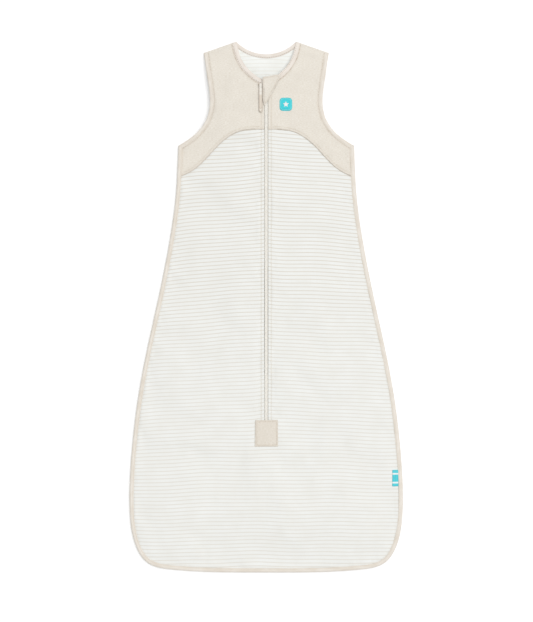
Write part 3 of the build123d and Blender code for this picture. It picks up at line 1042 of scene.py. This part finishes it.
# ---- tubes and thread --------------------------------------------------------
def tube(points, radii, sides=6):
    """A round tube through points, closed at both ends."""
    points = np.asarray(points, float)
    radii = np.broadcast_to(radii, len(points))
    forward = np.gradient(points, axis=0)
    forward /= np.linalg.norm(forward, axis=1)[:, None]
    guide = np.array((0.0, 0.0, 1.0)) if abs(forward[0][2]) < 0.8 else np.array((1.0, 0.0, 0.0))
    girth = 2 * math.pi * float(radii.max())
    verts, uv = [], []
    for p, r, f, s in zip(points, radii, forward, lengths(points)):
        guide = guide - f * (guide @ f)
        guide /= np.linalg.norm(guide)
        other = np.cross(f, guide)
        for k in range(sides):
            a = 2 * math.pi * k / sides
            verts.append(p + r * (math.cos(a) * guide + math.sin(a) * other))
            uv.append((s, girth * k / sides))
    return verts, sides_of(len(points), sides), uv


STITCH = 2.7
STITCH_GAP = 0.9
THREAD = 0.26
STITCH_INSET = 1.3      # from a binding's inner edge to its stitching


def stitches(line, length=STITCH, gap=STITCH_GAP, radius=THREAD):
    """Separate stitches of thread along a line of 3-D points."""
    line = np.asarray(line, float)
    along = lengths(line)
    made = []
    for i in range(int(along[-1] // (length + gap))):
        shares = np.array((0.0, 0.12, 0.5, 0.88, 1.0))
        s = i * (length + gap) + gap / 2 + shares * length
        centre = np.column_stack([np.interp(s, along, line[:, k]) for k in range(3)])
        centre[:, 2] += np.array((-0.22, 0.0, 0.07, 0.0, -0.22))
        centre[:, :2] += 0.08 * math.sin(i * 2.4)
        made.append(tube(centre, radius * np.array((0.45, 0.9, 1.0, 0.9, 0.45)), 5))
    return joined(*made)


def over_front(line, side, lift):
    """A plan line on the right half, laid on the front's cloth on either side."""
    return at_height(line * (side, 1), fitted(line, side)[0] + lift)


def make_front_stitching():
    neck_end = FRONT_NECK - NECK_BINDING - 1.0
    beside_zip = straight((ZIP_STITCH, PATCH[3] + 0.5), (ZIP_STITCH, neck_end), 1.0)
    seam = beside(yoke_line, HEM_BAND, -1)
    seam = seam[(seam[:, 0] > ZIP_STITCH + 2)]
    seam = seam[seam[:, 0] < half_width(seam[:, 1]) - EDGE_BINDING - 1]
    for side in (1, -1):
        rows = stitches(over_front(beside_zip, side, 0.15)), stitches(over_front(seam, side, 0.2))
        on_front(formed(f"front_stitching_{side_name(side)}", joined(*rows), thread), side)


def make_binding_stitching():
    rows = []
    edge = beside(side_line, EDGE_BINDING - STITCH_INSET)
    arm = beside(armhole_line, ARMHOLE_BINDING - STITCH_INSET)
    for side in (1, -1):
        rows.append(stitches(at_height(edge * (side, 1), 6.52)))
        rows.append(stitches(at_height(arm * (side, 1), front_top(*arm.T) + 0.22)[3:-3]))
    placed(formed("binding_stitching", joined(*rows), thread), None, "root")

    line = beside(back_neck_line, NECK_BINDING - 0.6 - STITCH_INSET, -1)
    row = stitches(at_height(line, BACK_LINING + 0.42)[3:-3])
    placed(formed("back_neck_stitching", row, dark_thread), None, "root")

    # the neck's dark thread lies along the dark line at the binding's edge: partly real stitching, partly
    # painted shade for the binding's shadow there
    neck = upto(neck_line, SLIT + 1.5)
    for side in (1, -1):
        line = beside(neck, 1.8 if side > 0 else NECK_BINDING - STITCH_INSET, -1)
        line = line[line[:, 1] > FRONT_NECK - NECK_BINDING]
        row = stitches(at_height(line * (side, 1), front_top(*line.T) + 0.25)[3:])
        on_front(formed(f"neck_stitching_{side_name(side)}", row, dark_thread), side)


# ---- zip ---------------------------------------------------------------------
COIL_PITCH = 1.27
WIRE = 0.44
# the coil's flattened turns, which pass the middle a little
COIL_MIDDLE, COIL_REACH, COIL_RISE = 0.95, 1.06, 0.62
TURN_STEPS = 12
CORE = 0.8              # radius of the cord inside the coil
CHAIN_TOP_Y = FRONT_NECK - 3.5
CHAIN_FOOT = ZIP_BOTTOM - 3.5   # the coil goes on a little under the patch
TAPE_TOP = CREST - 1.3
TAPE_COLUMNS = (0.62, 1.0, 2.4, 3.2, 4.6, 6.2, 7.8, 9.6, 11.4, 13.2)
STRIP_TOP = CREST - 3.4
STRIP_EDGE = 11.8       # the guard strip's sewn edge
STRIP_REACH = 3.0       # how far its free edge passes the middle


def make_zip():
    for side in (1, -1):
        name = side_name(side)
        t = np.arange(int((CHAIN_TOP_Y - CHAIN_FOOT) / COIL_PITCH) * TURN_STEPS + 1) / TURN_STEPS
        angle = 2 * math.pi * t
        x = side * (COIL_MIDDLE + COIL_REACH * np.cos(angle))
        z = CREST - 0.28 + COIL_RISE * np.sin(angle)
        y = CHAIN_FOOT + COIL_PITCH * (t + (0.5 if side > 0 else 0.0))
        core = straight((side, CHAIN_FOOT + 0.5), (side, CHAIN_TOP_Y - 0.5), 12.0)
        coil = joined(tube(np.column_stack([x, y, z]), WIRE, 5), tube(at_height(core, CREST - 0.25), CORE, 8))
        made = formed(f"zip_coil_{name}", coil, zip_coil, "zip_coil")
        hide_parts(f"zip_chain_{name}")
        on_front(made, side)
        # two rows of sewing hold the coil to its tape
        rows = []
        for offset in (1.15, 1.75):
            line = straight((side * offset, CHAIN_FOOT), (side * offset, CHAIN_TOP_Y - 1), 4.0)
            rows.append(stitches(at_height(line, CREST + 0.5), COIL_PITCH * 1.7, COIL_PITCH * 0.3, 0.16))
        on_front(formed(f"coil_sewing_{name}", joined(*rows), white_thread), side)
        # the tape, which keeps under the outer cloth and hangs lower in the bend, as the lining does
        ys = np.arange(CHAIN_FOOT, FRONT_NECK - 7.0, 2.0)
        plan = np.array([(a, b) for b in ys for a in TAPE_COLUMNS])
        away = smooth((plan[:, 0] - 2) / 2)
        under = np.minimum(fitted(plan, side)[0] - SHELL - 0.4 - TAPE_TOP, 0)
        z = TAPE_TOP + away * (under - 0.5 * bend_room(*plan.T))
        made = piece(f"zip_tape_{name}_cloth", np.column_stack([side * plan[:, 0], plan[:, 1], z]),
                     between(len(ys), len(TAPE_COLUMNS), side), zip_tape, "zip_tape",
                     np.column_stack([plan[:, 1], side * plan[:, 0]]))
        thicken(made, 0.6)
        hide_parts(f"zip_tape_{name}")
        on_front(made, side)
        # a moulded stop at the top of the coil
        stop = rounded_block(
            f"top_stop_{name}_nylon", side * 0.45, side * 2.9, CHAIN_TOP_Y + 0.1, FRONT_NECK - 1.0,
            TAPE_TOP, CREST + 0.95, 0.35, zip_coil, "zip_coil",
        )
        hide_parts(f"top_stop_{name}")
        on_front(stop, side)

    made = rounded_block("tape_end_cloth", -12, 12, -200, ZIP_BOTTOM - 0.8, CREST - 1.9, TAPE_TOP, 0.12,
                         zip_tape, "zip_tape")
    placed(made, "zip_tape_end", "root")
    made = rounded_block("bottom_stop_nylon", -2.6, 2.6, -188.5, -184.5, TAPE_TOP, CREST, 0.4,
                         zip_coil, "zip_coil")
    placed(made, "bottom_stop", "root")

    # the soft strip behind the zip, tapered towards its foot
    low, high = ZIP_BOTTOM + 1, FRONT_NECK - 8
    foot = 0.8
    outline = chained(
        straight((STRIP_EDGE, low), (STRIP_EDGE, high), 4),
        straight((STRIP_EDGE, high), (-STRIP_REACH, high), 3),
        straight((-STRIP_REACH, high), (-STRIP_REACH, high - 100), 4),
        straight((-STRIP_REACH, high - 100), (foot, low), 4), straight((foot, low), (STRIP_EDGE, low), 3),
    )
    plan, faces = fill(outline, [(grid(-4, 14, low, high, 2.0), 0.9)])
    x, y = plan.T
    edge = nearest(plan, closed(outline))[0]
    z = STRIP_TOP - 0.25 * np.exp(-edge / 0.8) + 0.1 * np.sin(y / 9) - bend_room(x, y)
    made = laid("guard_strip", plan, z, faces, lining_cotton, "oatmeal_cotton")
    thicken(made, 0.9)
    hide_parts("zip_guard")
    on_front(made, 1)


def block_mesh(x1, x2, y1, y2, z1, z2):
    x1, x2 = min(x1, x2), max(x1, x2)
    verts = [(x, y, z) for x in (x1, x2) for y in (y1, y2) for z in (z1, z2)]
    faces = [(0, 1, 3, 2), (4, 6, 7, 5), (0, 4, 5, 1), (2, 3, 7, 6), (0, 2, 6, 4), (1, 5, 7, 3)]
    return verts, faces, [(v[0], v[1]) for v in verts]


def rounded_block(name, x1, x2, y1, y2, z1, z2, round_by, look, slot):
    return bevelled(outward(formed(name, block_mesh(x1, x2, y1, y2, z1, z2), look, slot)), round_by)


# ---- slider, pin and pull ----------------------------------------------------
PLATE = 0.8             # thickness of the slider's plates
PLATE_HALF = 4.75       # and half their length
TOP_PLATE, LOW_PLATE = CREST + 0.8, CREST - 2.85
BRIDGE_BASE = TOP_PLATE + PLATE
BRIDGE_HALF = 1.1
PULL_MIDDLE, PULL_HALF, PULL_END = -8.85, 2.62, 310.0
STRAP_LOW, STRAP_HIGH = 17.22, 17.82    # heights of the strap's two layers


def prism(outline, low, high, place, hole=None):
    """A flat outline carried from low to high. place turns (a, b, c) into (x, y, z)."""
    plan, faces = fill(np.asarray(outline, float), [], hole)
    count = len(plan)
    rim = {}
    for f in faces:
        for a, b in zip(f, np.roll(f, -1)):
            rim[(int(a), int(b))] = 1
    verts = [place(a, b, low) for a, b in plan] + [place(a, b, high) for a, b in plan]
    made = [tuple(int(i) for i in f[::-1]) for f in faces]
    made += [tuple(int(i) + count for i in f) for f in faces]
    made += [(a, b, b + count, a + count) for a, b in rim if (b, a) not in rim]
    return verts, made, [(v[0], v[1]) for v in verts]


def shield(mouth, tail):
    """A slider plate's outline: wide and round where the coils enter, narrow where they leave."""
    back, front = PLATE_HALF, -PLATE_HALF
    shoulder = arc((mouth - 1.5, back - 1.5), 1.5, 0, 90, 7)
    toe = arc((tail - 0.7, front + 0.7), 0.7, -90, 0, 5)
    flank = curve([(tail, front + 0.9), (tail + 0.1, -0.5), (mouth, back - 1.6)], (0, 1), (0, 1), 0.8)
    right = np.concatenate([toe, flank[1:-1], shoulder])
    return np.concatenate([right, flipped(right[::-1])])


def make_slider():
    def flat(a, b, c):
        return (a, SLIDER_Y + b, c)

    # two plates, the divider between them and a rib along each side
    parts = [
        prism(shield(4.0, 2.95), TOP_PLATE, TOP_PLATE + PLATE, flat),
        prism(shield(3.35, 2.95), LOW_PLATE, LOW_PLATE + PLATE, flat),
        block_mesh(-0.3, 0.3, SLIDER_Y + 1.55, SLIDER_Y + 4.1, LOW_PLATE + 0.7, TOP_PLATE + 0.1),
    ]
    for side in (1, -1):
        parts.append(block_mesh(
            side * 2.4, side * 2.93, SLIDER_Y - 4.6, SLIDER_Y + 1.7, CREST - 1.1, TOP_PLATE + 0.1
        ))
    made = bevelled(outward(formed("slider_shell", joined(*parts), zip_metal, "zip_metal")), 0.2)
    placed(made, "slider_body", "slider")

    # the bridge: a ramp that rises to a ring for the pin
    ring = arc((PIN_Y, PIN_Z), 1.38, -60, 150, 22)
    ramp = curve(
        [ring[-1], (PIN_Y - 3.2, BRIDGE_BASE + 1.0), (PIN_Y - 6.0, BRIDGE_BASE)], (-0.9, -1), (-1, -0.1), 0.5
    )
    profile = np.concatenate([ring, ramp[1:], [(PIN_Y + 0.9, BRIDGE_BASE)]])
    hole = arc((PIN_Y, PIN_Z), 0.7, 0, 345, 24)
    bridge = prism(profile, -BRIDGE_HALF, BRIDGE_HALF, lambda a, b, c: (c, a, b), hole)
    made = bevelled(outward(formed("slider_bridge", bridge, zip_metal, "zip_metal")), 0.16)
    placed(made, "slider_crown", "slider")


def lathe(profile, sides, place):
    """A profile of (along, radius) turned about an axis. place turns (along, u, v) into (x, y, z)."""
    verts, uv = [], []
    for a, r in profile:
        for k in range(sides):
            turn = 2 * math.pi * k / sides
            verts.append(place(a, r * math.cos(turn), r * math.sin(turn)))
            uv.append((a, k))
    return verts, sides_of(len(profile), sides), uv


def make_pull():
    # a bar with a rounded head at each end
    left, right = -12.4, 2.2
    head = ((0.0, 0.55), (0.08, 0.85), (0.25, 1.02), (0.48, 0.98), (0.6, 0.68), (1.0, 0.65))
    profile = [(left + a, r) for a, r in head] + [(right - a, r) for a, r in head[::-1]]
    bar = lathe(profile, 24, lambda a, u, v: (a, PIN_Y + u, PIN_Z + v))
    placed(outward(formed("pull_bar", bar, zip_metal, "zip_metal")), "pull_pin", "pull")

    # one ribbon folded round the bar: out along the bottom, round, and back along the top
    round_bar = arc((PIN_Y, PIN_Z), 1.05, -100, 120, 20)
    bottom = np.array([
        (y, STRAP_LOW + 0.03 * math.sin(y / 4)) for y in np.arange(PULL_END, PIN_Y - 1.5, 1.2)
    ])
    top = np.array([
        (y, STRAP_HIGH + 1.25 * float(smooth((y - PIN_Y + 6.0) / 4.6)) + 0.03 * math.sin(y / 4))
        for y in np.arange(PIN_Y - 2.2, PULL_END - 0.1, -1.2)
    ])
    path = np.concatenate([bottom, round_bar, top])
    across = (-1.0, -0.93, -0.75, -0.4, 0.0, 0.4, 0.75, 0.93, 1.0)
    verts, uv = [], []
    for y, z in path:
        for a in across:
            into_point = 2.4 * abs(a) * float(smooth((PULL_END + 7 - y) / 7))
            verts.append((PULL_MIDDLE + PULL_HALF * a, y + into_point, z))
            uv.append((PULL_HALF * a, y + into_point - PULL_END))
    n = len(across)
    faces = [
        (j * n + i, (j + 1) * n + i, (j + 1) * n + i + 1, j * n + i + 1)
        for j in range(len(path) - 1) for i in range(n - 1)
    ]
    made = piece("pull_strap", verts, faces, pull_ribbon, "pull_ribbon", uv)
    placed(thicken(made, 0.5, 0), "pull_ribbon", "pull")

    # sewing across the strap below the bar and up both sides of its point
    left, middle, right = PULL_MIDDLE - 1.9, PULL_MIDDLE, PULL_MIDDLE + 1.9
    rows = [
        [(left, 343.0), (right, 343.0)], [(left, 318.5), (middle, 315.2)], [(middle, 315.2), (right, 318.5)],
    ]
    sewing = joined(*(stitches(at_height(row, 18.16), 1.3, 0.4, 0.16) for row in rows))
    placed(formed("pull_stitching", sewing, dark_thread), None, "pull")


# ---- chin guard, patch, badge and label --------------------------------------
GUARD_LOW, GUARD_HIGH = CREST + 2.0, CREST + 6.2
GUARD_RISE = 10.5       # it rises over this distance from its seam
PATCH_TOP = CREST + 1.1


def rounded(corners, radius, step=1.2):
    """An outline through corners with each one rounded off."""
    points = []
    count = len(corners)
    for i in range(count):
        before, here, after = (np.array(corners[(i + k) % count], float) for k in (-1, 0, 1))
        into, out = unit(before - here), unit(after - here)
        start, end = here + into * radius, here + out * radius
        next_start = after - unit(after - here) * radius
        for t in np.linspace(0, 1, 6):
            points.append((1 - t) ** 2 * start + 2 * t * (1 - t) * here + t * t * end)
        points += list(straight(end, next_start, step)[1:-1])
    return np.array(points)


def guard_height(x, y):
    """The chin guard's outside: up from its seam, over the slider and level to its free edge."""
    seam = np.array(GUARD_SEAM_BOTTOM) - GUARD_SEAM_TOP
    along = seam / np.linalg.norm(seam)
    off = np.abs((x - GUARD_SEAM_TOP[0]) * along[1] - (y - GUARD_SEAM_TOP[1]) * along[0])
    z = GUARD_LOW + (GUARD_HIGH - GUARD_LOW) * smooth(off / GUARD_RISE)
    return z - 2.0 * smooth((-1.5 - x) / 3.0) * smooth((350.5 - y) / 5)     # its lower free corner droops


def make_chin_guard():
    outline = rounded([GUARD_SEAM_TOP, GUARD_CORNER, GUARD_SIDE, GUARD_TIP, GUARD_SEAM_BOTTOM], 1.6)
    plan, faces = fill(outline, [(grid(-7, 26, 317, 373, 1.5), 0.6)])
    edge, along = nearest(plan, closed(outline))
    z = guard_height(*plan.T)
    z -= 0.35 * np.exp(-edge / 0.55) + 0.28 * ridge(edge - 2.0, 0.6)
    z += 0.09 * np.sin(2 * np.pi * along / 4.7) * ridge(edge - 2.0, 1.4)
    z = np.clip(z, None, GUARD_HIGH)
    # the last value given is painted shade in the groove along the guard's stitching
    made = laid("chin_flap", plan, z, faces, oatmeal_cotton, "oatmeal_cotton", 0.4 * ridge(edge - 2.0, 0.7))
    placed(thicken(made, 1.0), "chin_guard", "chin_guard")
    inner = [(21.6, 369.4), (-3.9, 364.3), (-3.9, 333.8), (-1.9, 325.0), (2.3, 331.4)]
    inner = closed(rounded(inner, 1.2, 0.8))
    z = np.clip(guard_height(*inner.T) - 0.16, None, GUARD_HIGH - 0.2)
    placed(formed("chin_stitching", stitches(at_height(inner, z), 2.2, 0.7, 0.2), thread), None, "chin_guard")


def make_patch():
    x1, x2, y1, y2 = PATCH
    outline = rounded([(x1 - 0.8, y1), (x2, y1 + 0.3), (x2 - 0.2, y2 + 1.0), (x1 - 0.2, y2 + 0.6)], 1.4)
    plan, faces = fill(outline, [(grid(x1, x2, y1, y2, 1.6), 0.6)])
    edge, along = nearest(plan, closed(outline))
    z = PATCH_TOP + 0.25 * smooth(edge / 9) - 0.5 * np.exp(-edge / 0.6) - 0.4 * ridge(edge - 2.3, 0.7)
    z += 0.16 * np.sin(2 * np.pi * along / 6.1 + 1.2 * np.sin(along / 11)) * ridge(edge - 2.6, 2.0)
    z += 0.12 * np.array([soft_noise(a, b, 7, 2.2) for a, b in plan])
    # 0.15 darkens the whole patch's own colour; the ridge is painted shade in the groove along its stitching
    shade = 0.15 + 0.3 * ridge(edge - 2.3, 0.7)
    made = laid("zip_patch_cloth", plan, z, faces, oatmeal_cotton, "oatmeal_cotton", shade)
    placed(thicken(made, 0.9), "zip_patch", "root")
    inner = [(x1 + 2.7, y1 + 2.3), (x2 - 2.3, y1 + 2.6), (x2 - 2.7, y2 - 2.3), (x1 + 3.5, y2 - 2.9)]
    row = stitches(at_height(closed(rounded(inner, 0.9, 0.8)), PATCH_TOP - 0.08))
    placed(formed("patch_stitching", row, thread), None, "root")


def star(centre, radius, waist, points=5):
    corners = []
    for i in range(2 * points):
        turn = math.pi / 2 + math.pi * i / points
        r = radius if i % 2 == 0 else waist
        corners.append((centre[0] + r * math.cos(turn), centre[1] + r * math.sin(turn)))
    return rounded(corners, 0.7, 0.8)


def raised(name, outline, bottom, top, round_by, look, step=1.2, hole=None):
    """A soft raised print on the right front, following it."""
    low, high = outline.min(axis=0), outline.max(axis=0)
    plan, faces = fill(outline, [(grid(low[0], high[0], low[1], high[1], step), step * 0.4)], hole)
    edge = nearest(plan, closed(outline))[0]
    if hole is not None:
        edge = np.minimum(edge, nearest(plan, closed(hole))[0])
    z = front_top(*plan.T) + slack(*plan.T) + top - round_by * np.exp(-edge / 0.35)
    return thicken(laid(name, plan, z, faces, look, "badge_print"), top - bottom)


def badge_outline(margin):
    w, h = BADGE_SIZE[0] / 2 - margin, BADGE_SIZE[1] / 2 - margin
    corners = [(w, h), (-w, h), (-w, -h), (w, -h)]
    corners = [(BADGE_CENTRE[0] + a, BADGE_CENTRE[1] + b) for a, b in corners]
    return rounded(corners, BADGE_CORNER - margin * 0.6)


def make_badge():
    made = raised("badge", badge_outline(0), -0.3, 0.6, 0.3, badge_print)
    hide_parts("chest_badge")
    on_front(made, 1)
    on_front(raised("badge_rim", badge_outline(1.3), 0.4, 0.78, 0.12, badge_pale, 1.0, badge_outline(2.0)), 1)
    on_front(raised("badge_star", star(BADGE_CENTRE, 5.2, 2.5), 0.4, 0.84, 0.15, badge_white, 0.8), 1)


def make_label():
    x1, x2, y1, y2 = LABEL
    fold = x2 + 3           # it goes on over the bag's edge
    outline = rounded([(x1, y1), (fold, y1 + 0.2), (fold, y2 + 0.2), (x1 + 0.2, y2)], 0.7)
    plan, faces = fill(outline, [(grid(x1, fold, y1, y2, 1.5), 0.6)])
    x, y = plan.T
    z = front_top(x, y) + slack(x, y) + 1.0 - 0.55 * np.exp(-(x - x1) / 0.5)
    z = np.where(x > x2, z - 0.45 * (x - x2), z)
    z += 0.12 * np.sin(y / 3.1)
    made = laid("side_tab", plan, z, faces, label_ribbon, "label_ribbon")
    placed(thicken(made, 0.8), "side_label", "root")


# ---- floor, light and camera -------------------------------------------------
CAMERA_AT = (0.5, -6.4)
VIEW_HEIGHT = 995.2     # what the camera sees from top to bottom, at the bag
CAMERA_DISTANCE = 2600.0
FLOOR_REACH = 30000.0
FLOOR_DROP = 0.4        # the floor lies this far below the bag
FLOOR_GLOW = 0.05       # keeps the pale floor from looking grey in the soft shadow
SKY_STRENGTH = 0.55
SUN_FROM = (0.36, 0.28, 1.6)        # from the bag towards the light
SUN_SPREAD = 44.0       # degrees
SUN_STRENGTH = 1.82


def make_studio():
    floor_mesh = bpy.data.meshes.new("floor")
    reach = FLOOR_REACH * MM
    corners = [(-reach, -reach, 0), (reach, -reach, 0), (reach, reach, 0), (-reach, reach, 0)]
    floor_mesh.from_pydata(corners, [], [(0, 1, 2, 3)])
    floor = bpy.data.objects.new("floor", floor_mesh)
    floor.location.z = -FLOOR_DROP * MM
    bpy.context.scene.collection.objects.link(floor)
    paper = Look("paper", Roughness=0.95, Specular_IOR_Level=0.1)
    paper.shader.inputs["Base Color"].default_value = (0.93, 0.93, 0.93, 1)
    paper.shader.inputs["Emission Color"].default_value = (1, 1, 1, 1)
    paper.shader.inputs["Emission Strength"].default_value = FLOOR_GLOW
    floor_mesh.materials.append(paper.material)

    world = bpy.data.worlds.new("studio")
    world.use_nodes = True
    background = world.node_tree.nodes["Background"]
    background.inputs["Color"].default_value = (1, 1, 1, 1)
    background.inputs["Strength"].default_value = SKY_STRENGTH
    bpy.context.scene.world = world

    # soft light from a wide patch of sky
    data = bpy.data.lights.new("key", "SUN")
    data.angle = math.radians(SUN_SPREAD)
    data.energy = SUN_STRENGTH
    lamp = bpy.data.objects.new("key", data)
    bpy.context.scene.collection.objects.link(lamp)
    lamp.rotation_euler = Vector(SUN_FROM).to_track_quat("Z", "Y").to_euler()

    data = bpy.data.cameras.new("camera")
    data.lens = data.sensor_width * CAMERA_DISTANCE / VIEW_HEIGHT
    camera = bpy.data.objects.new("camera", data)
    camera.location = (CAMERA_AT[0] * MM, CAMERA_AT[1] * MM, (CAMERA_DISTANCE + CREST / 2) * MM)
    bpy.context.scene.collection.objects.link(camera)
    bpy.context.scene.camera = camera
    bpy.context.scene.view_settings.view_transform = "Standard"


make_studio()
make_front()
make_front_lining()
make_back()
make_bindings()
make_front_stitching()
make_binding_stitching()
make_zip()
make_slider()
make_pull()
make_chin_guard()
make_patch()
make_badge()
make_label()
